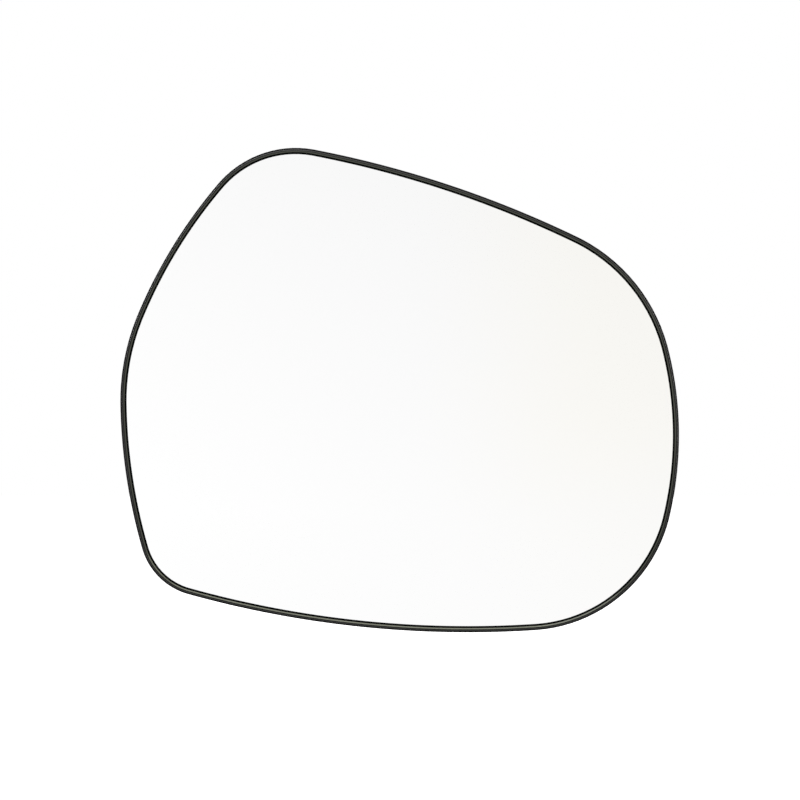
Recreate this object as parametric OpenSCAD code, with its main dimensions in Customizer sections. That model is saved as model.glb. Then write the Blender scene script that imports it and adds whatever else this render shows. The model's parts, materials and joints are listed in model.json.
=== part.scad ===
// Clip-on door mirror glass: a domed mirror bonded into a moulded backing plate.
//
// The part stands as it is fitted. The mirror faces -Y, +X is to the right of a
// viewer who looks into it, and +Z is up. The origin is the middle of the
// actuator seat, on the end face of the hub behind the glass.
// Every piece is drawn lying on its back, with the mirror facing up along z,
// and is turned upright at the very end.

/* [Outline] */
// Upper right corner, centre to the right of the actuator axis
upper_right_x = 37; // [28:0.5:46]
// Upper right corner, centre above the axis
upper_right_y = 5; // [-4:0.5:14]
// Upper right corner, radius
upper_right_r = 58; // [50:0.5:66]
// Upper left corner, centre to the left of the axis
upper_left_x = 33.5; // [26:0.5:40]
// Upper left corner, centre above the axis
upper_left_y = 53; // [46:0.5:62]
// Upper left corner, radius
upper_left_r = 34.5; // [28:0.5:41]
// Left shoulder, how far it stands out to the left beyond the lower left corner
shoulder_out = 6.5; // [3:0.5:9]
// Left shoulder, centre above the axis
shoulder_y = 1.5; // [-6:0.5:8]
// Left shoulder, radius
shoulder_r = 76; // [60:0.5:92]
// Lower left corner, centre to the left of the axis
lower_left_x = 64; // [56:0.5:71]
// Lower left corner, centre below the axis
lower_left_y = 42.5; // [36:0.5:52]
// Lower left corner, radius
lower_left_r = 22.5; // [16:0.5:30]
// Lower right corner, centre to the right of the axis
lower_right_x = 45; // [36:0.5:54]
// Lower right corner, centre below the axis
lower_right_y = 26.5; // [18:0.5:36]
// Lower right corner, radius
lower_right_r = 50; // [42:0.5:58]
// Bulge radius of the long sloping top
top_bulge = 370; // [240:10:700]
// Bulge radius of the upper left side
upper_left_bulge = 170; // [135:5:300]
// Bulge radius of the lower left side
lower_left_bulge = 190; // [150:5:320]
// Bulge radius of the bottom
bottom_bulge = 360; // [240:10:700]
// Bulge radius of the right side
right_bulge = 120; // [95:5:160]

/* [Glass] */
// Radius of the mirror's dome
dome_r = 1400; // [900:50:2200]
// Thickness of the glass
glass_t = 2; // [1.6:0.1:3]
// Gap between the glass edge and the lip
edge_gap = 0.15; // [0.1:0.05:0.3]

/* [Heater film and pad] */
// Thickness of the heater film
film_t = 0.3; // [0.2:0.05:0.5]
// Thickness of the adhesive between film and glass
adhesive_t = 0.1; // [0.05:0.05:0.2]
// Distance from the glass edge in to the film's edge
film_margin = 4; // [2:0.5:8]
// Thickness of the foam pad
pad_t = 0.8; // [0.8:0.1:1.6]
// Distance from the glass edge in to the pad's edge
pad_margin = 3; // [1:0.5:8]
// Clear border that the pad's cut-outs leave round the terminal windows
pad_border = 0.8; // [0.4:0.1:1.5]

/* [Backing plate] */
// Thickness of the domed skin
skin_t = 1.8; // [1.4:0.1:2.6]
// Width of the lip that wraps the glass
lip_w = 0.95; // [0.7:0.05:1.5]
// Height of the lip above the glass
lip_rise = 0.4; // [0.2:0.1:0.8]
// Width of the flange outside the lip
flange_w = 0.6; // [0.3:0.05:1]
// How far the flange lies below the top of the lip
flange_drop = 1.2; // [0.6:0.1:2]
// Step in from the flange's edge to the skirt behind it
skirt_step = 0.8; // [0.4:0.1:1.5]
// Wall thickness of the skirt
skirt_w = 1.6; // [1.2:0.1:2.4]
// Depth of the skirt and ribs behind the skin
rib_depth = 3; // [2:0.1:3.8]
// Thickness of the ribs
rib_w = 1.2; // [0.8:0.1:1.8]
// Number of radial ribs
rib_count = 12; // [12:12:24]
// Radius of the round rib, to the middle of its wall
round_rib_r = 62; // [59:0.5:66]

/* [Hub and clip ring] */
// Height of the hub, from the actuator seat to the back of the skin
hub_h = 8; // [7:0.5:12]
// Radius of the hub
hub_r = 11; // [9:0.5:13]
// Radius of the pilot bore
pilot_r = 6.5; // [4:0.25:7.5]
// Depth of the pilot bore
pilot_depth = 6; // [4:0.5:7]
// Inner radius of the clip ring
ring_r = 33; // [31:0.5:34]
// Wall thickness of the clip ring
ring_w = 2; // [1.4:0.1:2.6]
// How far the clip ring stands behind the seat
ring_over = 3; // [1:0.5:4]
// Thickness of the actuator plate that the hooks hold
held_t = 3; // [2:0.1:4]
// Play between that plate and the hooks
held_play = 0.2; // [0.1:0.05:0.5]
// Width of a snap finger, in degrees round the ring
finger_deg = 22; // [14:1:26]
// Slot on each side of a finger, in degrees
slot_deg = 2.5; // [2:0.5:4]
// Thickness of a snap finger
finger_w = 1.6; // [1.2:0.1:2.2]
// How far a hook reaches in
hook_reach = 1.3; // [0.8:0.1:1.8]
// Height of the flat on a hook's nose
hook_nose = 0.7; // [0.4:0.1:1.2]
// Slope of a hook's lead-in, from the axis
hook_lead = 40; // [30:1:50]
// Thickness of the gussets that brace the ring
gusset_w = 2; // [1.6:0.1:3]
// How far a gusset runs out along its rib
gusset_run = 7; // [4:0.5:10]

/* [Terminals] */
// Distance of each terminal to the side of the axis
terminal_x = 12; // [11:0.5:14]
// Distance of the terminals below the axis
terminal_drop = 47; // [46:0.5:49]
// Width of a blade
blade_w = 6.3; // [4.8:0.1:6.5]
// Thickness of a blade and its foot
blade_t = 0.8; // [0.5:0.1:0.8]
// Length of a blade behind the heater film
blade_len = 9; // [7:0.5:10]
// Corner cut at a blade's tip
blade_cut = 1.1; // [0.6:0.1:1.6]
// Radius of the catch hole through a blade
catch_r = 0.8; // [0.5:0.1:1]
// Distance of the catch hole from the tip
catch_from_tip = 3; // [2.5:0.1:4]
// Length of a terminal's foot
foot_len = 8; // [7:0.5:9]
// Radius of a rivet's shank
rivet_r = 0.8; // [0.6:0.1:1]
// Radius of a rivet's head
rivet_head_r = 1.7; // [1.4:0.1:2]
// Height of a rivet's head
rivet_head_h = 0.5; // [0.3:0.1:0.8]
// Width of a terminal window
window_w = 12; // [11:0.5:13]
// Height of a terminal window
window_h = 13; // [12:0.5:14]
// Distance of a blade above the middle of its window
blade_rise = 2.3; // [1.8:0.1:2.6]
// Corner radius of a terminal window
window_r = 1.5; // [1:0.25:2.5]
// Wall thickness of the collar round a window
collar_w = 1.4; // [1:0.1:1.8]

/* [Hidden] */
$fn = 120;

// Corners of the outline, anticlockwise: [x, y, radius] about the actuator axis
CORNERS = [
    [upper_right_x, upper_right_y, upper_right_r],
    [-upper_left_x, upper_left_y, upper_left_r],
    [shoulder_r - shoulder_out - lower_left_x - lower_left_r, shoulder_y, shoulder_r],
    [-lower_left_x, -lower_left_y, lower_left_r],
    [lower_right_x, -lower_right_y, lower_right_r]
];
// Bulge radius of the side that follows each corner
BULGES = [top_bulge, upper_left_bulge, lower_left_bulge, bottom_bulge, right_bulge];
corner_count = len(CORNERS);
// Neighbouring arcs cross this far outside true tangency, so that they always meet
arc_overlap = 0.005;
// About the width of the part, so more than any of it stands away from the axis
reach = upper_right_x + upper_right_r + lower_left_x;
// A cut starts this far before the face that it opens
cut_over = 1;

// Layers of the stack where they cross the actuator axis
skin_back_z = hub_h;
skin_front_z = skin_back_z + skin_t;
pad_front_z = skin_front_z + pad_t;
film_front_z = pad_front_z + film_t;
glass_back_z = film_front_z + adhesive_t;
glass_front_z = glass_back_z + glass_t;
lip_top_z = glass_front_z + lip_rise;
flange_top_z = lip_top_z - flange_drop;
// What stands behind the skin grows into it to half its thickness
root_z = skin_back_z + skin_t / 2;
rib_back_z = skin_back_z - rib_depth;
// All the domes share this centre
dome_z = glass_front_z - dome_r;
hub_root_z = dome_height(root_z, hub_r);
ring_root_z = dome_height(root_z, ring_r + ring_w);
// Steps of the dome's profile in one turn
dome_fn = 3600;

lip_inset = flange_w + lip_w;
glass_inset = lip_inset + edge_gap;
film_inset = glass_inset + film_margin;
pad_inset = glass_inset + pad_margin;

finger_count = 4;
finger_turn = 360 / finger_count;
// Middle of the first finger, half-way between two plain stretches of the ring
first_finger = finger_turn / 2;
catch_z = -held_t - held_play;
nose_z = catch_z - hook_nose;
// The lead-in flares out past the finger's inner face by this much
lead_flare = 0.6;
finger_end_z = nose_z - (hook_reach + lead_flare) / tan(hook_lead);
// Gap between a hook and the edge of the hole that its mould core leaves
core_gap = 0.3;

// Edge of the foot beyond the rivet's head
rivet_edge = 0.6;
// Distance from a foot's middle to its blade and to its rivet
blade_from_middle = (foot_len - blade_t) / 2;
rivet_from_middle = foot_len / 2 - rivet_head_r - rivet_edge;
// Height of a foot's middle, with its blade in place in the window
foot_y = blade_rise - terminal_drop - blade_from_middle;
// The foot lies this far behind the film, which is domed
foot_gap = 0.02;
// The rivet's shank ends this far short of the glass
rivet_short = 0.05;

// Height at radius r of the dome that crosses the axis at z
function dome_height(z, r) = dome_z + sqrt(pow(z - dome_z, 2) - r * r);

// Centre of the side arc of radius bulge that is tangent to corners a and b
function side_centre(a, b, bulge) =
    let (p = [a[0], a[1]],
         q = [b[0], b[1]],
         gap = norm(q - p),
         along = (q - p) / gap,
         to_a = bulge - a[2],
         to_b = bulge - b[2],
         run = (to_a * to_a - to_b * to_b + gap * gap) / (2 * gap),
         rise = sqrt(to_a * to_a - run * run))
    p + run * along + rise * [-along[1], along[0]];

// Point where corner c touches the side arc that has the given centre
function touch_point(c, centre, inset) =
    let (p = [c[0], c[1]])
    p + (c[2] - inset) * (p - centre) / norm(p - centre);

SIDES = [for (i = [0:corner_count - 1])
    side_centre(CORNERS[i], CORNERS[(i + 1) % corner_count], BULGES[i])];

// Everything on the inner side of the line from p to q
module inner_side(p, q) {
    along = reach * (q - p) / norm(q - p);
    inward = 2 * [-along[1], along[0]];
    polygon([p - along, q + along, q + along + inward, p - along + inward]);
}

// Outline of the part, brought in evenly by inset: five corner arcs joined by five side arcs
module outline(inset = 0) {
    intersection() {
        intersection_for (i = [0:corner_count - 1]) translate(SIDES[i]) circle(BULGES[i] - inset);
        intersection_for (i = [0:corner_count - 1]) rounded_corner(i, inset);
    }
}

// The plane but for what lies outside the round of corner i
module rounded_corner(i, inset) {
    c = CORNERS[i];
    translate([c[0], c[1]]) circle(c[2] - inset + arc_overlap);
    before = SIDES[(i + corner_count - 1) % corner_count];
    inner_side(touch_point(c, before, inset), touch_point(c, SIDES[i], inset));
}

// All that lies behind the dome that crosses the axis at z
module behind_dome(z) {
    rotate_extrude() intersection() {
        translate([0, dome_z]) circle(z - dome_z, $fn = dome_fn);
        translate([0, -reach / 2]) square(reach);
    }
}

// A straight prism, long enough to pass through every dome
module prism() {
    translate([0, 0, -reach / 2]) linear_extrude(reach) children();
}

// A layer of the stack between two domes
module layer(back_z, front_z) {
    difference() {
        intersection() {
            prism() children();
            behind_dome(front_z);
        }
        behind_dome(back_z);
    }
}

// Places what is drawn at the origin on the dome at height z, over the point [x, y], square to it
module on_dome(x, y, z) {
    r = z - dome_z;
    pitch = asin(y / r);
    translate([0, 0, dome_z])
        rotate([-pitch, asin(x / (r * cos(pitch))), 0])
            translate([0, 0, r]) children();
}

// Copies, one on each side of the axis
module both_sides() {
    for (side = [-1, 1]) translate([side * terminal_x, -terminal_drop]) children();
}

module rounded_rectangle(w, h, r) {
    square([w - 2 * r, h], center = true);
    square([w, h - 2 * r], center = true);
    for (x = [-1, 1], y = [-1, 1]) translate([x * (w / 2 - r), y * (h / 2 - r)]) circle(r);
}

// Turns a piece upright, as it is fitted
module upright() {
    rotate([90, 0, 0]) children();
}

module mirror_glass() {
    color("gainsboro") upright() layer(glass_back_z, glass_front_z) outline(glass_inset);
}

module heater_film() {
    color("darkkhaki") upright() difference() {
        layer(pad_front_z, film_front_z) outline(film_inset);
        for (side = [-1, 1]) on_terminal(side) rivet_shank();
    }
}

// The pad is cut out at the terminals, where the film shows through the plate's windows
module foam_pad() {
    color("dimgray") upright() layer(skin_front_z, pad_front_z) difference() {
        outline(pad_inset);
        both_sides() rounded_rectangle(window_w + 2 * pad_border, window_h + 2 * pad_border, window_r);
    }
}

// The moulded plate: domed skin and lip in front, all that stiffens and carries it behind
module backing_plate() {
    color("#26282a") upright() difference() {
        union() {
            tray();
            layer(rib_back_z, root_z) stiffeners();
            hub();
            clip_ring();
        }
        prism() both_sides() rounded_rectangle(window_w, window_h, window_r);
        core_holes();
    }
}

// Skin with the lip that wraps the glass and the lower flange outside the lip
module tray() {
    difference() {
        layer(skin_back_z, lip_top_z) outline();
        difference() {
            prism() outline(lip_inset);
            behind_dome(skin_front_z);
        }
        difference() {
            prism() difference() {
                outline(-cut_over);
                outline(flange_w);
            }
            behind_dome(flange_top_z);
        }
    }
}

// Skirt, ribs and collars, seen along the axis
module stiffeners() {
    difference() {
        outline(skirt_step);
        outline(skirt_step + skirt_w);
    }
    difference() {
        circle(round_rib_r + rib_w / 2);
        circle(round_rib_r - rib_w / 2);
    }
    intersection() {
        for (i = [0:rib_count - 1]) rotate(i * 360 / rib_count) rib();
        outline(skirt_step + skirt_w / 2);
    }
    both_sides() rounded_rectangle(window_w + 2 * collar_w, window_h + 2 * collar_w, window_r + collar_w);
}

// One radial rib, from inside the hub's wall out past the skirt; it is broken where the ring stands
module rib() {
    from = (hub_r + pilot_r) / 2;
    translate([from, -rib_w / 2]) square([reach - from, rib_w]);
}

// Hub with the blind pilot bore; its end is the actuator seat
module hub() {
    difference() {
        cylinder(r = hub_r, h = hub_root_z);
        translate([0, 0, -cut_over]) cylinder(r = pilot_r, h = pilot_depth + cut_over);
    }
}

// Ring that grips the actuator plate: plain stretches, braced outside, with snap fingers between
module clip_ring() {
    plain_deg = finger_turn - finger_deg - 2 * slot_deg;
    for (i = [0:finger_count - 1]) rotate(i * finger_turn) {
        rotate(-plain_deg / 2) rotate_extrude(angle = plain_deg)
            translate([ring_r, -ring_over]) square([ring_w, ring_root_z + ring_over]);
        rotate(first_finger - finger_deg / 2) rotate_extrude(angle = finger_deg) finger_profile();
        gusset();
    }
}

// Section of a snap finger, with its hook towards the axis
module finger_profile() {
    polygon([
        [ring_r, ring_root_z],
        [ring_r, catch_z],
        [ring_r - hook_reach, catch_z],
        [ring_r - hook_reach, nose_z],
        [ring_r + lead_flare, finger_end_z],
        [ring_r + finger_w, finger_end_z],
        [ring_r + finger_w, ring_root_z]
    ]);
}

// Three-cornered brace that runs from the ring's outer wall down to its rib
module gusset() {
    inner = ring_r + ring_w / 2;
    outer = ring_r + ring_w + gusset_run;
    rotate([90, 0, 0]) translate([0, 0, -gusset_w / 2]) linear_extrude(gusset_w)
        polygon([[inner, -ring_over / 2], [ring_r + ring_w, -ring_over / 2], [outer, rib_back_z],
                 [outer, ring_root_z], [inner, ring_root_z]]);
}

// Holes through the skin under the hooks, left by the cores that form the catches
module core_holes() {
    for (i = [0:finger_count - 1]) rotate(first_finger + i * finger_turn - finger_deg / 2)
        translate([0, 0, rib_back_z]) rotate_extrude(angle = finger_deg)
            translate([ring_r - hook_reach - 2 * core_gap, 0])
                square([hook_reach + core_gap, reach]);
}

// Terminal: a foot flat against the film and a blade that stands out behind it
module terminal(side) {
    on_terminal(side) difference() {
        union() {
            translate([-blade_w / 2, -foot_len / 2, -blade_t]) cube([blade_w, foot_len, blade_t]);
            translate([0, blade_from_middle, 0]) blade();
        }
        rivet_shank();
    }
}

// Blade with cut corners at the tip and a catch hole
module blade() {
    half = blade_w / 2;
    difference() {
        rotate([-90, 0, 0]) translate([0, 0, -blade_t / 2]) linear_extrude(blade_t)
            polygon([[-half, 0], [half, 0], [half, blade_len - blade_cut], [half - blade_cut, blade_len],
                     [blade_cut - half, blade_len], [-half, blade_len - blade_cut]]);
        translate([0, -cut_over, catch_from_tip - blade_len]) rotate([-90, 0, 0])
            cylinder(r = catch_r, h = 2 * cut_over);
    }
}

module terminal_left() {
    color("burlywood") upright() terminal(-1);
}

module terminal_right() {
    color("burlywood") upright() terminal(1);
}

// Puts what is drawn at a foot's middle in its place on the back of the film
module on_terminal(side) {
    on_dome(side * terminal_x, foot_y, pad_front_z - foot_gap) children();
}

// The hole for a rivet's shank, through foot and film
module rivet_shank() {
    translate([0, -rivet_from_middle, -blade_t - cut_over])
        cylinder(r = rivet_r, h = blade_t + film_t + 2 * cut_over);
}

module terminal_rivets() {
    color("silver") upright() for (side = [-1, 1]) on_terminal(side)
        translate([0, -rivet_from_middle, -blade_t]) {
            translate([0, 0, -rivet_head_h]) cylinder(r = rivet_head_r, h = rivet_head_h);
            cylinder(r = rivet_r, h = blade_t + foot_gap + film_t - rivet_short);
        }
}

mirror_glass();
heater_film();
foam_pad();
backing_plate();
terminal_left();
terminal_right();
terminal_rivets();
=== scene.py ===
# %% [markdown]
# # A clip-on door mirror glass
#
# The part is a domed mirror, bonded into a black moulded plate that clips to an actuator inside the
# mirror housing. The solids come packed from CAD, at their real size. This lesson gives each of them the
# finish of the real thing, and sets up the white studio of a catalogue photograph. The box of the CAD
# solids is measured at once, because nothing that is added later may stick out of it.

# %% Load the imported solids
import json
import math

import bmesh
import bpy
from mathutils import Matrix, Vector

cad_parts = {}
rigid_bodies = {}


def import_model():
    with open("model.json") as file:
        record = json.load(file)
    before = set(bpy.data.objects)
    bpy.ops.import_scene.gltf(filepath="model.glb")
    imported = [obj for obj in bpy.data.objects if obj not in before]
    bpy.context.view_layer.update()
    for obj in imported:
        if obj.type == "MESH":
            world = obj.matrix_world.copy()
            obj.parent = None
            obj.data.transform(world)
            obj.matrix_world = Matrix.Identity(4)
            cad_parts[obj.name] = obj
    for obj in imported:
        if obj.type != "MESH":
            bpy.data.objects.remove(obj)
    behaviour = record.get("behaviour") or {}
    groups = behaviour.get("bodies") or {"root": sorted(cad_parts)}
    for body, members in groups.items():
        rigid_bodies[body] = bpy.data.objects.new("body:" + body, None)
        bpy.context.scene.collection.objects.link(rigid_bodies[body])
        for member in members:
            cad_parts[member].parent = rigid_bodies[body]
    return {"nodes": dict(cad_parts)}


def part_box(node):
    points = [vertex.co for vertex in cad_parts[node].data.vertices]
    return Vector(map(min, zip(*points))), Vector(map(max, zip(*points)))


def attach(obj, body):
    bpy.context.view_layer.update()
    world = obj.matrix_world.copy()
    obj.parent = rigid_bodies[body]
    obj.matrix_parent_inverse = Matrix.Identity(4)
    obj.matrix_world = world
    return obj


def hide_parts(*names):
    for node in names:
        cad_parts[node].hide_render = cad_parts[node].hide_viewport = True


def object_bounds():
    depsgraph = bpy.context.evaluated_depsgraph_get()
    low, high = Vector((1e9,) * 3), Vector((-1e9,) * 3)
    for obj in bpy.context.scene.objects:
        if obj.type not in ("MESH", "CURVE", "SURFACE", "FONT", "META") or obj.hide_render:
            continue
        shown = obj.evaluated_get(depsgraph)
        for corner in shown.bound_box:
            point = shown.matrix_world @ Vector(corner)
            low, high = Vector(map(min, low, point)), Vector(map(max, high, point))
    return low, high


for left_over in list(bpy.data.objects):
    bpy.data.objects.remove(left_over)
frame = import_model()
cad_low, cad_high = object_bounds()
MM = 0.001
print("CAD box in mm:", [round(side / MM, 1) for side in cad_high - cad_low])

# %% [markdown]
# ## The camera
#
# The photograph looks straight at the mirror, as through a long lens. At the rim the picture is 271.8 mm
# wide, so a 135 mm lens on a 36 mm sensor has to stand 3.75 times that far away. The part sits a little
# above the middle of the picture, which here comes from lowering the camera, and not from turning it.

# %% Place the camera
PICTURE_WIDTH = 271.8 * MM
LENS = 135
SENSOR = 36
RIM_Y = -9.0 * MM
CAMERA_DROP = 3.38 * MM
CAMERA_ASIDE = 0.09 * MM


def link(name, data):
    """A new object in the scene, at the origin."""
    made = bpy.data.objects.new(name, data)
    bpy.context.scene.collection.objects.link(made)
    return made


middle = (cad_low + cad_high) / 2
lens = bpy.data.cameras.new("photo_lens")
lens.lens = LENS
lens.sensor_width = SENSOR
camera = link("photo_camera", lens)
camera.location = (middle.x + CAMERA_ASIDE, RIM_Y - PICTURE_WIDTH * LENS / SENSOR, middle.z - CAMERA_DROP)
camera.rotation_euler = (math.radians(90), 0, 0)
bpy.context.scene.camera = camera
bpy.context.scene.view_settings.view_transform = "Standard"
print("camera stands", round(-camera.location.y, 3), "m in front")

# %% [markdown]
# ## Building materials from nodes
#
# Every finish below is a small network of nodes. Two helpers keep the cells short: one adds a node with
# its settings and whatever feeds it, the other opens a new node group with named sockets. A group puts
# out only colours, masks and heights, so that any material can use it with values of its own.

# %% Helpers for nodes


def add(tree, kind, feeds=None, **settings):
    """A node of that kind, with its settings and what feeds its sockets, as a value or another socket."""
    node = tree.nodes.new(kind)
    for name, value in settings.items():
        setattr(node, name, value)
    for socket, value in (feeds or {}).items():
        if isinstance(value, bpy.types.NodeSocket):
            tree.links.new(value, node.inputs[socket])
        else:
            node.inputs[socket].default_value = value
    return node


def maths(tree, operation, first, second=0.0):
    """The result of one sum on two numbers or sockets."""
    return add(tree, "ShaderNodeMath", {0: first, 1: second}, operation=operation).outputs[0]


def new_group(name, takes, gives):
    """A node group with inputs {name: start value} and outputs {name: kind}."""
    kinds = {float: "NodeSocketFloat", tuple: "NodeSocketVector"}
    group = bpy.data.node_groups.new(name, "ShaderNodeTree")
    for label, value in takes.items():
        socket = group.interface.new_socket(label, in_out="INPUT", socket_type=kinds[type(value)])
        socket.default_value = value
    for label in gives:
        group.interface.new_socket(label, in_out="OUTPUT", socket_type="NodeSocketFloat")
    inside = group.nodes.new("NodeGroupInput").outputs
    outside = group.nodes.new("NodeGroupOutput").inputs
    return group, inside, outside


def use_group(tree, group, feeds):
    """The outputs of a group, placed in a material with its own values."""
    return add(tree, "ShaderNodeGroup", feeds, node_tree=group).outputs


def in_sizes(group, taken):
    """The place that a group takes, counted in steps of the size that it takes."""
    steps = maths(group, "DIVIDE", 1.0, taken["Size"])
    return add(group, "ShaderNodeVectorMath", {0: taken["Place"], 3: steps}, operation="SCALE").outputs[0]


# %% [markdown]
# ## Grain
#
# Moulded plastic copies the spark-eroded skin of its steel mould: rounded pits, a few tenths of a
# millimetre apart, with finer noise between them. Cells from a Voronoi texture make the pits and a noise
# texture the rest. The size comes in as a length, so the same group serves plastic, foam, glass and film.

# %% Group: moulded grain
grain, taken, given = new_group(
    "moulded_grain", {"Place": (0.0, 0.0, 0.0), "Size": 0.3 * MM, "Fine share": 0.4}, ["Height"])
scaled = in_sizes(grain, taken)
voronoi = add(grain, "ShaderNodeTexVoronoi", {"Vector": scaled, "Scale": 1.0}, feature="SMOOTH_F1")
pits = voronoi.outputs["Distance"]
fine = add(grain, "ShaderNodeTexNoise", {"Vector": scaled, "Scale": 2.6, "Detail": 2.0}).outputs[0]
mixed = add(grain, "ShaderNodeMix", {"Factor": taken["Fine share"], 2: pits, 3: fine})
grain.links.new(mixed.outputs[0], given["Height"])
print("group", grain.name, "puts out", [s.name for s in given if s.name])

# %% [markdown]
# ## Mottle
#
# No large surface is quite even. A slow noise, stretched between two values, lets colour and gloss drift
# by a few per cent over some centimetres.

# %% Group: mottle
mottle, taken, given = new_group(
    "slow_mottle", {"Place": (0.0, 0.0, 0.0), "Size": 20 * MM, "Low": 0.0, "High": 1.0}, ["Value"])
drift = add(mottle, "ShaderNodeTexNoise",
            {"Vector": in_sizes(mottle, taken), "Scale": 1.0, "Detail": 3.0}).outputs[0]
ranged = add(mottle, "ShaderNodeMapRange", {0: drift, 1: 0.3, 2: 0.7, 3: taken["Low"], 4: taken["High"]})
mottle.links.new(ranged.outputs[0], given["Value"])
print("group", mottle.name, "puts out", [s.name for s in given if s.name])

# %% [markdown]
# ## Worn edges
#
# Handling polishes the edges of a part first. Pointiness is high where the surface folds outwards, and a
# noise with patches of about 3 mm breaks the line up, so that it looks rubbed and not drawn.

# %% Group: worn edges
PATCHES_PER_METRE = 350.0
wear, taken, given = new_group("worn_edges", {"Place": (0.0, 0.0, 0.0), "From": 0.52, "To": 0.6}, ["Mask"])
fold = add(wear, "ShaderNodeNewGeometry").outputs["Pointiness"]
edge = add(wear, "ShaderNodeMapRange", {0: fold, 1: taken["From"], 2: taken["To"]}).outputs[0]
patchy = add(wear, "ShaderNodeTexNoise", {"Vector": taken["Place"], "Scale": PATCHES_PER_METRE,
                                          "Detail": 4.0}).outputs[0]
patches = add(wear, "ShaderNodeMapRange", {0: patchy, 1: 0.4, 2: 0.65}).outputs[0]
wear.links.new(maths(wear, "MULTIPLY", edge, patches), given["Mask"])
print("group", wear.name, "puts out", [s.name for s in given if s.name])

# %% [markdown]
# ## Dust
#
# A part out of its bag has a little dust and lint on it. Fine noise, cut off high, leaves scattered specks.

# %% Group: dust
CLEAN_BELOW = 0.78
COVER_REACH = 0.4
SPECK_EDGE = 0.12
dust, taken, given = new_group(
    "fine_dust", {"Place": (0.0, 0.0, 0.0), "Size": 0.5 * MM, "Cover": 0.1}, ["Mask"])
specks = add(dust, "ShaderNodeTexNoise",
             {"Vector": in_sizes(dust, taken), "Scale": 1.0, "Detail": 6.0, "Roughness": 0.7}).outputs[0]
start = maths(dust, "SUBTRACT", CLEAN_BELOW, maths(dust, "MULTIPLY", taken["Cover"], COVER_REACH))
cut = add(dust, "ShaderNodeMapRange", {0: specks, 1: start, 2: maths(dust, "ADD", start, SPECK_EDGE)})
dust.links.new(cut.outputs[0], given["Mask"])
print("group", dust.name, "puts out", [s.name for s in given if s.name])

# %% [markdown]
# ## Finishes
#
# Each finish starts from the Principled shader. What is the same all over, such as the specular level, is
# set on the shader itself. What changes over the surface comes from the groups, read in object
# coordinates: the pieces stand at the origin in metres, so a size is a real size.

# %% Start a finish


def new_finish(name, **constants):
    """A material, its node tree, its shader and the object coordinates that its patterns read."""
    finish = bpy.data.materials.new(name)
    finish.use_nodes = True
    tree = finish.node_tree
    shader = tree.nodes["Principled BSDF"]
    for label, value in constants.items():
        shader.inputs[label.replace("_", " ")].default_value = value
    place = add(tree, "ShaderNodeTexCoord").outputs["Object"]
    return finish, tree, shader, place


def feed(tree, shader, **sockets):
    """Links each named input of the shader to a socket."""
    for label, socket in sockets.items():
        tree.links.new(socket, shader.inputs[label.replace("_", " ")])


def two_tone(tree, mask, plain, marked):
    """Colour plain where the mask is 0 and marked where it is 1."""
    mix = add(tree, "ShaderNodeMix", {"Factor": mask, 6: (*plain, 1), 7: (*marked, 1)}, data_type="RGBA")
    return mix.outputs[2]


def bumped(tree, height, depth, below=None):
    """A normal from a height of 0 to 1, where 1 stands depth metres proud."""
    feeds = {"Height": height, "Distance": depth}
    if below is not None:
        feeds["Normal"] = below
    return add(tree, "ShaderNodeBump", feeds).outputs["Normal"]


# %% [markdown]
# ## Black plastic
#
# The plate is moulded in black plastic, whose surface is that of the mould. Most of it has a fine grain
# that scatters the light, with rubbed edges and a little dust on top. One even grey would do from far
# off, but looks like paint close up. So the grain is a bump, the gloss drifts, and edges and dust differ.

# %% Finish: black moulded plastic
GRAIN = 0.35 * MM
plastic, tree, shader, place = new_finish("black_moulded_plastic", Specular_IOR_Level=0.4)
pitted = use_group(tree, grain, {"Place": place, "Size": GRAIN})["Height"]
drift = use_group(tree, mottle, {"Place": place, "Size": 25 * MM, "Low": 0.4, "High": 0.52})["Value"]
rubbed = use_group(tree, wear, {"Place": place, "From": 0.53, "To": 0.58})["Mask"]
dusty = use_group(tree, dust, {"Place": place, "Size": 0.6 * MM, "Cover": 0.12})["Mask"]
black = two_tone(tree, rubbed, (0.012, 0.012, 0.0125), (0.06, 0.06, 0.058))
feed(tree, shader,
     Base_Color=add(tree, "ShaderNodeMix", {"Factor": maths(tree, "MULTIPLY", dusty, 0.35), 6: black,
                                            7: (0.2, 0.19, 0.18, 1)}, data_type="RGBA").outputs[2],
     Roughness=maths(tree, "ADD", drift, maths(tree, "MULTIPLY", dusty, 0.3)),
     Normal=bumped(tree, pitted, 0.03 * MM))
print("finish", plastic.name)

# %% [markdown]
# The rim shows as a dark band with a lighter line along it. The rim is one moulding, but its black comes in
# two copies. A bright one on the slope of the lip towards the glass paints the highlight line, and a
# near-black matt one on the rest paints the shade of the dark band. A mask in one material could tell the
# two apart, but they meet at an edge of the shape, so each is a material of its own on its own faces.

# %% Finishes: painted shade and painted highlight of the rim
# The shade copy has a near-black colour, darker than the plate's own black, as painted shade.
rim_shade_copy, tree, shader, place = new_finish("matt_rim_painted_shade", Specular_IOR_Level=0.13)
eroded = use_group(tree, grain, {"Place": place, "Size": 0.16 * MM, "Fine share": 0.6})["Height"]
feed(tree, shader,
     Base_Color=two_tone(tree, use_group(tree, mottle, {"Place": place, "Size": 9 * MM})["Value"],
                         (0.0015, 0.0015, 0.0013), (0.004, 0.004, 0.0032)),
     Roughness=use_group(tree, mottle, {"Place": place, "Size": 12 * MM, "Low": 0.27, "High": 0.34})["Value"],
     Normal=bumped(tree, eroded, 0.006 * MM))

# The highlight copy has a high specular level, an olive specular tint as painted reflection colour, and
# lighter streaks in its colour, as painted highlight.
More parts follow.
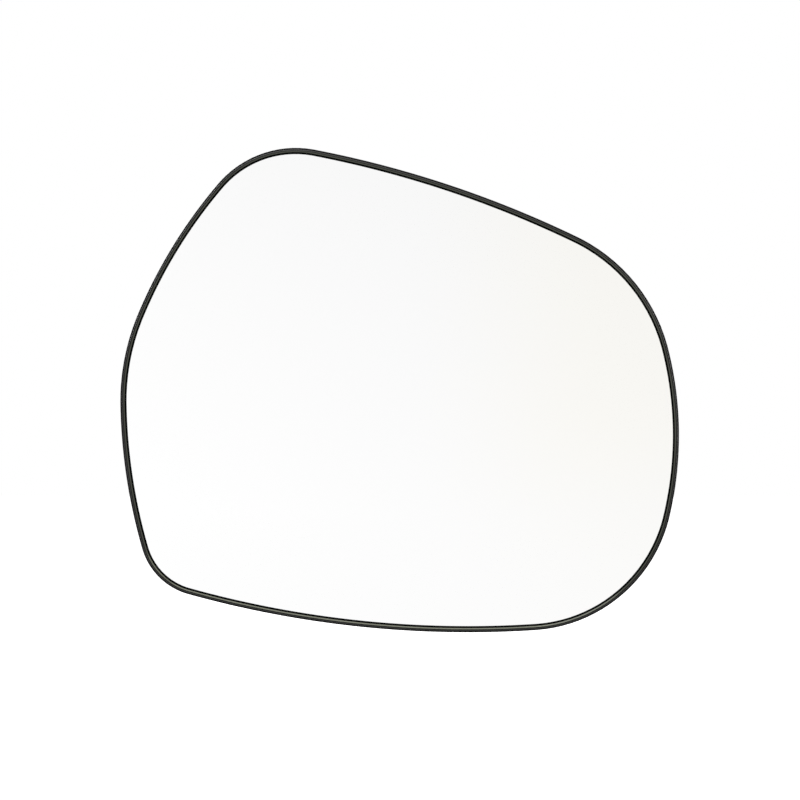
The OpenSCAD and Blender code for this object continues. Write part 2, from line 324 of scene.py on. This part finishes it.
rim_highlight_copy, tree, shader, place = new_finish("lip_edge_painted_highlight", Specular_IOR_Level=0.72,
                                            Specular_Tint=(0.96, 1.0, 0.84, 1))
highlight_streaks = use_group(tree, mottle, {"Place": place, "Size": 14 * MM, "Low": 0.0, "High": 1.0})["Value"]
feed(tree, shader,
     Base_Color=two_tone(tree, highlight_streaks, (0.002, 0.0025, 0.001), (0.03, 0.032, 0.025)),
     Roughness=use_group(tree, mottle, {"Place": place, "Size": 6 * MM, "Low": 0.18, "High": 0.26})["Value"],
     Normal=bumped(tree, use_group(tree, grain, {"Place": place, "Size": GRAIN})["Height"], 0.004 * MM))
print("finishes", rim_shade_copy.name, rim_highlight_copy.name)

# %% [markdown]
# The mirror is float glass with silver behind it. Clear glass over a metal sheet would copy that, but
# seen from the front it is all reflection, so the front face is one metal surface with hardly any
# roughness. Only a breath of haze and a few specks tell that it is a real sheet. Its ground edge is
# painted near-black with a green tint. The green is the glass's own, and the near-black is painted shade
# for the dark gap beside the lip and the black plate behind the glass.

# %% Finishes: silvered face and ground edge
silver, tree, shader, place = new_finish("silvered_face", Metallic=1.0)
haze = use_group(tree, mottle, {"Place": place, "Size": 60 * MM, "Low": 0.012, "High": 0.03})["Value"]
lint = use_group(tree, dust, {"Place": place, "Size": 0.9 * MM, "Cover": 0.02})["Mask"]
feed(tree, shader,
     Base_Color=two_tone(tree, lint, (0.97, 0.97, 0.97), (0.8, 0.8, 0.79)),
     Roughness=maths(tree, "ADD", haze, maths(tree, "MULTIPLY", lint, 0.2)))

# The near-black colours of the ground edge are painted shade, with the glass's own green tint.
ground, tree, shader, place = new_finish("ground_glass_edge_painted_shade", Specular_IOR_Level=0.04)
frosting = use_group(tree, grain, {"Place": place, "Size": 0.08 * MM, "Fine share": 0.7})["Height"]
depth = use_group(tree, mottle, {"Place": place, "Size": 8 * MM, "Low": 0.0, "High": 1.0})["Value"]
feed(tree, shader,
     Base_Color=two_tone(tree, depth, (0.002, 0.0032, 0.0026), (0.004, 0.007, 0.0055)),
     Roughness=use_group(tree, mottle, {"Place": place, "Size": 5 * MM, "Low": 0.3, "High": 0.45})["Value"],
     Normal=bumped(tree, frosting, 0.006 * MM))
print("finishes", silver.name, ground.name)

# %% [markdown]
# The pad is closed-cell foam, which looks like a dark sponge with cells of about half a millimetre. The
# grain group makes them, with large cells and little noise, and the same pattern paints shade into their
# bottoms.
# The plate hides nearly all of it: only its cut edges in the terminal windows can be seen, at a slant.

# %% Finish: closed-cell foam
foam, tree, shader, place = new_finish("closed_cell_foam", Specular_IOR_Level=0.2)
cells = use_group(tree, grain, {"Place": place, "Size": 0.45 * MM, "Fine share": 0.2})["Height"]
# The cell pattern also sets the colour: darker in the hollows of the cells, as painted shade.
feed(tree, shader,
     Base_Color=two_tone(tree, cells, (0.03, 0.03, 0.03), (0.11, 0.11, 0.115)),
     Roughness=use_group(tree, mottle, {"Place": place, "Size": 12 * MM, "Low": 0.85, "High": 0.95})["Value"],
     Normal=bumped(tree, cells, 0.12 * MM))
print("finish", foam.name)

# %% [markdown]
# The heater is a sheet of amber polyester with printed silver tracks, which run back and forth across it.
# Through the windows in the plate they show as stripes. A stripe is where the height on the sheet, counted
# in pitches, has a fraction below the width of a track. Under each terminal the tracks end in a printed
# pad, a little larger than the terminal's foot, so its place is measured on the CAD node.

# %% Finish: printed heater film
TRACK_PITCH = 3.0 * MM
FOOT_HEIGHT = 8 * MM
PAD_SIZE = (8.6 * MM, 10.4 * MM)
film, tree, shader, place = new_finish("printed_heater_film", Specular_IOR_Level=0.5)
low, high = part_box("terminal_right")
split = add(tree, "ShaderNodeSeparateXYZ", {0: place}).outputs
stripe = maths(tree, "LESS_THAN", maths(tree, "FRACT", maths(tree, "DIVIDE", split["Z"], TRACK_PITCH)), 0.4)
aside = maths(tree, "SUBTRACT", maths(tree, "ABSOLUTE", split["X"]), (low.x + high.x) / 2)
above = maths(tree, "SUBTRACT", split["Z"], low.z + FOOT_HEIGHT / 2)
on_pad = maths(tree, "MULTIPLY", *(maths(tree, "LESS_THAN", maths(tree, "ABSOLUTE", offset), size / 2)
                                   for offset, size in zip((aside, above), PAD_SIZE)))
silver_ink = maths(tree, "MAXIMUM", stripe, on_pad)
weave = use_group(tree, grain, {"Place": place, "Size": 0.2 * MM, "Fine share": 0.8})["Height"]
feed(tree, shader,
     Base_Color=two_tone(tree, silver_ink, (0.33, 0.2, 0.06), (0.42, 0.41, 0.39)),
     Metallic=maths(tree, "MULTIPLY", silver_ink, 0.6),
     Roughness=use_group(tree, mottle, {"Place": place, "Size": 10 * MM, "Low": 0.3, "High": 0.42})["Value"],
     Normal=bumped(tree, weave, 0.004 * MM, bumped(tree, silver_ink, 0.02 * MM)))
print("finish", film.name)

# %% [markdown]
# The terminals are stamped from tinned brass strip. Rolling leaves lines along the strip, which a noise
# makes that is squeezed on one axis, and the yellow brass shows where the tin has worn off the edges. The
# rivets are aluminium, hammered dull by the tool that spread them. All of that stands on a metallic shader.

# %% Finishes: tinned brass and rivet metal
ROLLED = (9000, 500, 500)  # noise per metre on X, Y and Z
tinned, tree, shader, place = new_finish("tinned_brass", Metallic=1.0)
bare = use_group(tree, wear, {"Place": place, "From": 0.51, "To": 0.56})["Mask"]
dull = use_group(tree, mottle, {"Place": place, "Size": 2 * MM, "Low": 0.24, "High": 0.4})["Value"]
rolled = add(tree, "ShaderNodeTexNoise", {"Vector": add(tree, "ShaderNodeMapping", {
    "Vector": place, "Scale": ROLLED}).outputs[0], "Scale": 1.0, "Detail": 2.0}).outputs[0]
feed(tree, shader, Base_Color=two_tone(tree, bare, (0.66, 0.64, 0.58), (0.72, 0.5, 0.2)), Roughness=dull,
     Normal=bumped(tree, rolled, 0.004 * MM))

pressed, tree, shader, place = new_finish("pressed_rivet_metal", Metallic=1.0)
blotch = use_group(tree, mottle, {"Place": place, "Size": 1.2 * MM, "Low": 0.25, "High": 0.45})["Value"]
hammered = use_group(tree, grain, {"Place": place, "Size": 0.25 * MM})["Height"]
rubbed = use_group(tree, wear, {"Place": place})["Mask"]
feed(tree, shader, Base_Color=two_tone(tree, rubbed, (0.55, 0.55, 0.56), (0.75, 0.75, 0.76)),
     Roughness=blotch, Normal=bumped(tree, hammered, 0.008 * MM))
print("finishes", tinned.name, pressed.name)

# %% [markdown]
# ## From a CAD node to a finished piece
#
# A node from CAD has knife-sharp edges, which no moulded, cut or stamped part has, and a sharp edge never
# catches the light. So each piece starts as a copy of its node: the loose triangles are merged, flat
# patches are dissolved, and the outward edges are bevelled. The shape and the place stay those of the CAD.

# %% Helpers for pieces
MERGE = 0.002 * MM
FLAT = math.radians(0.1)
SHARP = math.radians(35)


def merged_copy(node_name):
    """A bmesh of a CAD node, with its triangles joined and its flat patches in one face each."""
    shape = bmesh.new()
    shape.from_mesh(frame["nodes"][node_name].data)
    bmesh.ops.remove_doubles(shape, verts=shape.verts, dist=MERGE)
    bmesh.ops.dissolve_limit(shape, angle_limit=FLAT, use_dissolve_boundaries=False, verts=shape.verts,
                             edges=shape.edges, delimit=set())
    return shape


def outward_edges(shape, wanted=lambda edge: True):
    """The edges that fold outwards by more than SHARP, of those that are wanted."""
    return [edge for edge in shape.edges
            if edge.is_manifold and edge.is_convex and edge.calc_face_angle() > SHARP and wanted(edge)]


def round_off(shape, edges, width, steps):
    """Bevels the edges by that width: flat with one step, round with more."""
    bmesh.ops.bevel(shape, geom=edges, offset=width, offset_type="OFFSET", affect="EDGES",
                    segments=steps, profile=0.5, clamp_overlap=False, material=-1)


def finish_piece(name, shape, finishes, node_name):
    """Turns the bmesh into a piece that rides on the part, and stands for its CAD node if it has one."""
    mesh = bpy.data.meshes.new(name)
    shape.to_mesh(mesh)
    shape.free()
    mesh.shade_smooth()
    mesh.set_sharp_from_angle(angle=SHARP)
    for finish in finishes:
        mesh.materials.append(finish)
    piece = link(name, mesh)
    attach(piece, "root")
    if node_name:
        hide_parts(node_name)
    print(name, "has", len(mesh.polygons), "faces")
    return piece


# %% [markdown]
# ## Shading
#
# Light shows up the slightest fault in the direction of a surface. So each corner of each face gets its
# direction worked out here. Large faces decide it, so that a bevel doesn't bend the light on a flat wall.
# And the glass, the skin of the plate and the tops of its ribs all lie on domes with one centre, 1.4 m
# behind the mirror, so there the exact direction is known.

# %% Helpers for shading
DOME_RADIUS = 1400 * MM
dome_middle = Vector((0, cad_low.y + DOME_RADIUS, 0))


def lies_on_dome(places):
    """Whether all these places are equally far from the middle of the domes."""
    reaches = [(place - dome_middle).length for place in places]
    return max(reaches) - min(reaches) < 2 * MERGE


def shade(piece):
    """Writes the direction of the surface to every corner: the dome's where a face lies along it, or the
    average of the faces that meet there at less than SHARP, by their areas."""
    mesh = piece.data
    around = [[] for _ in mesh.vertices]
    faces = [(polygon.normal.copy(), polygon.area, list(polygon.vertices)) for polygon in mesh.polygons]
    for number, (_, _, verts) in enumerate(faces):
        for vert in verts:
            around[vert].append(number)
    outward = [(vert.co - dome_middle).normalized() for vert in mesh.vertices]
    domed = {number for number, (_, _, verts) in enumerate(faces)
             if lies_on_dome([mesh.vertices[vert].co for vert in verts])}
    smooth = math.cos(SHARP)
    directions = []
    for number, (normal, _, verts) in enumerate(faces):
        for vert in verts:
            met = [other for other in around[vert] if other == number or faces[other][0].dot(normal) > smooth]
            if number in domed:
                met = [other for other in around[vert] if other in domed]
            total = sum((faces[other][0] * faces[other][1] for other in met), Vector())
            if not domed.isdisjoint(met):
                total = outward[vert] * math.copysign(1, total.dot(outward[vert]))
            directions.append(total.normalized())
    mesh.normals_split_custom_set(directions)


# %% [markdown]
# ## The backing plate
#
# The plate is one moulding. Its lip and the flange outside the lip are all that shows in the photograph,
# as a band two millimetres wide. The two edges of the lip's crest get a flat bevel, which catches the
# light as one even line, and all other edges a small round, as a mould has. The faces of the rim are then
# told by where they lie and which way they look. The slope towards the glass takes the copy that paints a
# highlight line, and the rest takes the near-black copy that paints shade.

# %% Piece: backing plate
LIP_BEVEL = 0.38 * MM
MOULD_ROUND = 0.18 * MM
RIM_DEPTH = 1.5 * MM
FORWARD = -0.7
PARTLY_FORWARD = -0.3
PARTLY_INWARD = -0.3


def on_the_lip(edge):
    """Whether an edge bounds the lip's crest, which stands in front of the dome of the mirror."""
    proud = all((vert.co - dome_middle).length > DOME_RADIUS for vert in edge.verts)
    return proud and any(face.normal.y < FORWARD for face in edge.link_faces)


def in_the_picture(face):
    """Whether a face belongs to the visible rim: it looks forward and lies beside the mirror's edge."""
    reach = (face.calc_center_median() - dome_middle).length
    return face.normal.y < PARTLY_FORWARD and reach > DOME_RADIUS - RIM_DEPTH


def slopes_inwards(face):
    """Whether a face of the visible rim slopes from the top of the lip towards the mirror."""
    place = face.calc_center_median()
    turned = face.normal.x * place.x + face.normal.z * place.z
    looks_in = turned < PARTLY_INWARD * math.hypot(place.x, place.z)
    return (place - dome_middle).length > DOME_RADIUS and looks_in


shape = merged_copy("backing_plate")
round_off(shape, outward_edges(shape, on_the_lip), LIP_BEVEL, 1)
round_off(shape, outward_edges(shape, lambda edge: not on_the_lip(edge)), MOULD_ROUND, 2)
# Painted light on the rim: inward slopes take the highlight copy, and the rest take the shade copy.
for face in shape.faces:
    if in_the_picture(face):
        face.material_index = 1 if slopes_inwards(face) else 2
print("polished faces:", sum(face.material_index == 1 for face in shape.faces))
shade(finish_piece("moulded_plate", shape, [plastic, rim_highlight_copy, rim_shade_copy], "backing_plate"))

# %% [markdown]
# A moulding keeps the marks of its mould. Round ejector pins push it out between the ribs and leave low
# discs on the skin, and the plastic came in at the bottom of the pilot bore, where a small stub is left.
# A bump could fake them, but the exported shape would lack them. So each is a low disc, sunk a little
# into the wall.

# %% Piece: mould marks
SKIN_RADIUS = 1395 * MM
BORE_END = -6 * MM
PIN_RADIUS = 2.5 * MM
PIN_RISE = 0.15 * MM
GATE_RADIUS = 1.3 * MM
GATE_RISE = 0.4 * MM
SUNK = 0.3 * MM
SOFT_SHARE = 0.6
INNER_PINS = [(48 * MM, angle) for angle in (15, 75, 105, 165, 195, 225, 315, 345)]
OUTER_PINS = [(73 * MM, angle) for angle in (15, 105, 135, 165, 195, 225, 315, 345)]


def raised_disc(shape, place, along, radius, rise):
    """A round disc with a soft edge, that stands a little proud of the surface at that place."""
    turn = along.to_track_quat("Z", "Y").to_matrix().to_4x4()
    verts = bmesh.ops.create_cone(shape, cap_ends=True, segments=48, radius1=radius, radius2=radius,
                                  depth=rise + SUNK, matrix=turn)["verts"]
    bmesh.ops.translate(shape, verts=verts, vec=place + along * (rise - SUNK) / 2)
    crest = max({face for vert in verts for face in vert.link_faces},
                key=lambda face: face.calc_center_median().dot(along))
    round_off(shape, list(crest.edges), rise * SOFT_SHARE, 2)


shape = bmesh.new()
for radius, angle in INNER_PINS + OUTER_PINS:
    across, up = radius * math.cos(math.radians(angle)), radius * math.sin(math.radians(angle))
    behind = dome_middle.y - math.sqrt(SKIN_RADIUS ** 2 - radius ** 2)
    place = Vector((across, behind, up))
    raised_disc(shape, place, (dome_middle - place).normalized(), PIN_RADIUS, PIN_RISE)
raised_disc(shape, Vector((0, BORE_END, 0)), Vector((0, 1, 0)), GATE_RADIUS, GATE_RISE)
shade(finish_piece("mould_marks", shape, [plastic], None))

# %% [markdown]
# ## The mirror
#
# The edge of the glass is ground to a small slope all round, which a bevel makes. Only the face inside it
# takes the silvered finish; the slope, the side and the hidden back take that of ground glass. A bevel
# needs room, and folds over itself where a point of the dome crowds the edge. So points within twice its
# width are first welded to the edge.

# %% Piece: mirror
GROUND = 0.55 * MM
SILVERED = -0.98


def front_rim(shape):
    """The edges where the front of the glass meets its side."""
    return outward_edges(shape, lambda edge: any(face.normal.y < FORWARD for face in edge.link_faces))


shape = merged_copy("mirror_glass")
on_rim = {vert for edge in front_rim(shape) for vert in edge.verts}
crowded = {edge.other_vert(vert): vert for vert in on_rim for edge in vert.link_edges
           if edge.other_vert(vert) not in on_rim and edge.calc_length() < 2 * GROUND}
bmesh.ops.weld_verts(shape, targetmap=crowded)
print("welded", len(crowded), "points of the dome that crowd the edge")
round_off(shape, front_rim(shape), GROUND, 2)
for face in shape.faces:
    if face.normal.y > SILVERED:
        face.material_index = 1
shade(finish_piece("mirror_pane", shape, [silver, ground], "mirror_glass"))

# %% [markdown]
# ## The foam pad
#
# A double-sided pad of foam bonds film and glass to the plate, and takes up what the plate moves in heat.
# A cushion would be swelled by cloth simulation, but this pad is cut from sheet and pressed to an even
# thickness, so it keeps the shape of its solid and only gets soft edges. Nothing in it is slack.

# %% Piece: foam pad
PAD_ROUND = 0.15 * MM
shape = merged_copy("foam_pad")
round_off(shape, outward_edges(shape), PAD_ROUND, 2)
pad = finish_piece("foam_bonding_pad", shape, [foam], "foam_pad")
shade(pad)

# %% [markdown]
# ## Heater film and terminals
#
# The film is a plain thin sheet, so its CAD node stays as it is and only takes its finish. The terminals
# are stamped: the punch leaves their edges slightly round, by less than a tenth of a millimetre.

# %% Piece: heater film
frame["nodes"]["heater_film"].material_slots[0].material = film
print("heater_film takes the finish", film.name)

# %% Pieces: terminals
STAMPED_ROUND = 0.07 * MM
for side in ("left", "right"):
    shape = merged_copy("terminal_" + side)
    round_off(shape, outward_edges(shape), STAMPED_ROUND, 2)
    shade(finish_piece("blade_" + side, shape, [tinned], "terminal_" + side))

# %% [markdown]
# The rivets are pressed tubes: their heads are round at the edge, and hollow in the middle where the tool
# spread them. Each head's flat face gets an inset ring, and what lies inside it is pushed in.

# %% Piece: rivets
HEAD_ROUND = 0.3 * MM
HEAD_RING = 0.375 * MM
HOLLOW_SLOPE = 0.1875 * MM
HOLLOW_DEPTH = 0.25 * MM
BACKWARD = 0.98
shape = merged_copy("terminal_rivets")
back = max(face.calc_center_median().y for face in shape.faces if face.normal.y > BACKWARD)
round_off(shape, outward_edges(shape), HEAD_ROUND, 4)
heads = [face for face in shape.faces
         if face.normal.y > BACKWARD and face.calc_center_median().y > back - HOLLOW_DEPTH]
for head in heads:
    bmesh.ops.inset_individual(shape, faces=[head], thickness=HEAD_RING)
    bmesh.ops.inset_individual(shape, faces=[head], thickness=HOLLOW_SLOPE, depth=-HOLLOW_DEPTH)
print("hollowed", len(heads), "rivet heads")
shade(finish_piece("riveted_heads", shape, [pressed], "terminal_rivets"))

# %% [markdown]
# ## The studio
#
# The photograph is all white, and the mirror shows it. What the mirror reflects here is a white card
# behind the camera, a touch darker towards the upper right of the picture and warmer towards its right.
# Below the card it sees the floor in front, which continues the same white. So a group holds the level
# and warmth of that white, by place in the studio, and both use it.

# %% Group: the white of card and floor
MIDDLE_LEVEL = 0.996
FALL_ACROSS = 0.07  # per metre
FALL_UP = 0.09
whiteness, taken, given = new_group("studio_white", {"Across": 0.0, "Up": 0.0}, ["Level", "Warmth"])
level = maths(whiteness, "SUBTRACT", MIDDLE_LEVEL, maths(whiteness, "MULTIPLY", taken["Across"], FALL_ACROSS))
level = maths(whiteness, "SUBTRACT", level, maths(whiteness, "MULTIPLY", taken["Up"], FALL_UP))
right = add(whiteness, "ShaderNodeMapRange", {0: taken["Across"], 1: 0.0, 2: 0.32},
            interpolation_type="SMOOTHSTEP").outputs[0]
raised = add(whiteness, "ShaderNodeMapRange", {0: taken["Up"], 1: -0.3, 2: 0.0},
             interpolation_type="SMOOTHSTEP").outputs[0]
whiteness.links.new(level, given["Level"])
whiteness.links.new(maths(whiteness, "MULTIPLY", right, raised), given["Warmth"])
print("group", whiteness.name, "puts out", [s.name for s in given if s.name])

# %% [markdown]
# Three helpers follow: which rays see the white background, the shining white itself as a shader, and a
# flat sheet for floor and card. A white world would flood the object with light, so the world shows its
# white only to the rays that see the background, and Light Path tells which those are.

# %% Helpers for the studio


def sees_background(tree):
    """1 for rays from the camera, or by way of metal or glass, and 0 for the light that falls on things."""
    path = add(tree, "ShaderNodeLightPath").outputs
    seen = maths(tree, "MAXIMUM", path["Is Camera Ray"], path["Is Glossy Ray"])
    return maths(tree, "MAXIMUM", seen, path["Is Transmission Ray"])


def white_glow(tree):
    """The shining white of card and floor, at this place of the studio."""
    place = add(tree, "ShaderNodeNewGeometry").outputs["Position"]
    split = add(tree, "ShaderNodeSeparateXYZ", {0: place}).outputs
    white = use_group(tree, whiteness, {"Across": split["X"], "Up": split["Z"]})
    tint = two_tone(tree, white["Warmth"], (1, 1, 1), (1, 0.99, 0.955))
    colour = add(tree, "ShaderNodeVectorMath", {0: tint, 3: white["Level"]}, operation="SCALE").outputs[0]
    return add(tree, "ShaderNodeEmission", {"Color": colour}).outputs[0]


def stage_sheet(name, width, height, finish, place, turn=(0, 0, 0)):
    """A flat sheet of the studio, which isn't part of the object."""
    shape = bmesh.new()
    bmesh.ops.create_grid(shape, x_segments=1, y_segments=1, size=0.5)
    bmesh.ops.scale(shape, vec=(width, height, 1), verts=shape.verts)
    mesh = bpy.data.meshes.new(name)
    shape.to_mesh(mesh)
    shape.free()
    mesh.materials.append(finish)
    sheet = link(name, mesh)
    sheet.location = place
    sheet.rotation_euler = [math.radians(angle) for angle in turn]
    return sheet


# %% [markdown]
# The floor is pale paint that the lamps light, so that it keeps the part's shadow. It lies below the
# picture near the part, and rises into it far behind. There it must not end in a horizon, so for the
# camera alone it also glows, more with distance. Mirror and metal see the shining white in its place. From
# below it is clear, so that the part can be looked at from there.

# %% Floor
FLOOR_Z = -160 * MM
FLOOR_SIDE = 8
GLOW_FROM, GLOW_TO = 0.3, 1.5  # metres from the middle of the floor
LEAST_GLOW, MOST_GLOW = 0.15, 0.95
floor_paint, tree, shader, place = new_finish("pale_floor", Specular_IOR_Level=0.0, Roughness=0.9)
feed(tree, shader, Base_Color=two_tone(tree, use_group(tree, mottle, {"Place": place, "Size": 0.5})["Value"],
                                       (0.7, 0.7, 0.7), (0.73, 0.73, 0.73)))
path = add(tree, "ShaderNodeLightPath").outputs
away = add(tree, "ShaderNodeVectorMath", {0: place}, operation="LENGTH").outputs["Value"]
lift = add(tree, "ShaderNodeMapRange",
           {0: away, 1: GLOW_FROM, 2: GLOW_TO, 3: LEAST_GLOW, 4: MOST_GLOW}).outputs[0]
glow = add(tree, "ShaderNodeEmission", {"Strength": maths(tree, "MULTIPLY", path["Is Camera Ray"], lift)})
both = add(tree, "ShaderNodeAddShader", {0: shader.outputs[0], 1: glow.outputs[0]})
mirrored = maths(tree, "MAXIMUM", path["Is Glossy Ray"], path["Is Transmission Ray"])
above = add(tree, "ShaderNodeMixShader", {0: mirrored, 1: both.outputs[0], 2: white_glow(tree)})
underside = add(tree, "ShaderNodeNewGeometry").outputs["Backfacing"]
clear = add(tree, "ShaderNodeBsdfTransparent")
mixed = add(tree, "ShaderNodeMixShader", {0: underside, 1: above.outputs[0], 2: clear.outputs[0]})
tree.links.new(mixed.outputs[0], tree.nodes["Material Output"].inputs["Surface"])
stage_sheet("studio_floor", FLOOR_SIDE, FLOOR_SIDE, floor_paint, (0, 0, FLOOR_Z))
print("floor lies", round((cad_low.z - FLOOR_Z) / MM, 1), "mm below the part")

# %% [markdown]
# The card stands upright behind the camera, facing the part. In views from the back it would show behind
# the part, so no camera sees it. The mirror does, and the card also lights the front of the part softly.

# %% Card
CARD_SIZE = (1.3, 0.76)
CARD_PLACE = (0, -1.4, 0.22)
card_paint, tree, shader, place = new_finish("white_card_paint")
tree.links.new(white_glow(tree), tree.nodes["Material Output"].inputs["Surface"])
card = stage_sheet("white_card", *CARD_SIZE, card_paint, CARD_PLACE, (90, 0, 0))
card.visible_camera = False
print("card of", CARD_SIZE, "m")

# %% [markdown]
# Three soft lamps stand above the part and to its right, close to the plane of the rim. The bevels of the
# lip turn their light to the camera, while flat faces get it only at a slant, so they draw the light
# lines without washing the black out. One large lamp in front would light the rim evenly and lose them.
# Two more light the back.

# %% Lamps


def soft_lamp(name, place, size, power, colour=(1, 1, 1)):
    """A square soft lamp that faces the part: its size in metres and its power in watts."""
    lamp = bpy.data.lights.new(name, "AREA")
    lamp.size = size
    lamp.energy = power
    lamp.color = colour
    made = link(name, lamp)
    made.visible_camera = False
    made.location = place
    made.rotation_euler = (middle - made.location).to_track_quat("-Z", "Y").to_euler()
    print(name, "gives", power, "W")


soft_lamp("key_lamp", (-0.3, 0.01, 0.94), 0.6, 3.4, (0.99, 1.0, 0.98))
soft_lamp("top_lamp", (0.2, 0.01, 0.97), 0.6, 3.0, (1.0, 0.99, 0.9))
soft_lamp("right_lamp", (0.76, 0.01, 0.62), 0.6, 2.6, (1.0, 0.98, 0.85))
soft_lamp("back_lamp", (-0.6, 1.2, 0.5), 0.8, 11)
soft_lamp("back_fill", (0.7, 1.2, 0.1), 0.8, 7)

# %% [markdown]
# The world gives the rest of the light, at a low level, so that the black stays black. To the camera and
# in reflections it is plain white, as the background of the photograph is.

# %% World
AMBIENT = 0.4
world = bpy.data.worlds.new("white_studio")
world.use_nodes = True
tree = world.node_tree
dim = tree.nodes["Background"]
dim.inputs["Color"].default_value = (1, 1, 1, 1)
dim.inputs["Strength"].default_value = AMBIENT
white = add(tree, "ShaderNodeBackground", {"Color": (1, 1, 1, 1), "Strength": 1.0})
mixed = add(tree, "ShaderNodeMixShader", {0: sees_background(tree), 1: dim.outputs[0], 2: white.outputs[0]})
tree.links.new(mixed.outputs[0], tree.nodes["World Output"].inputs["Surface"])
bpy.context.scene.world = world
print("world", world.name, "lights at", AMBIENT)
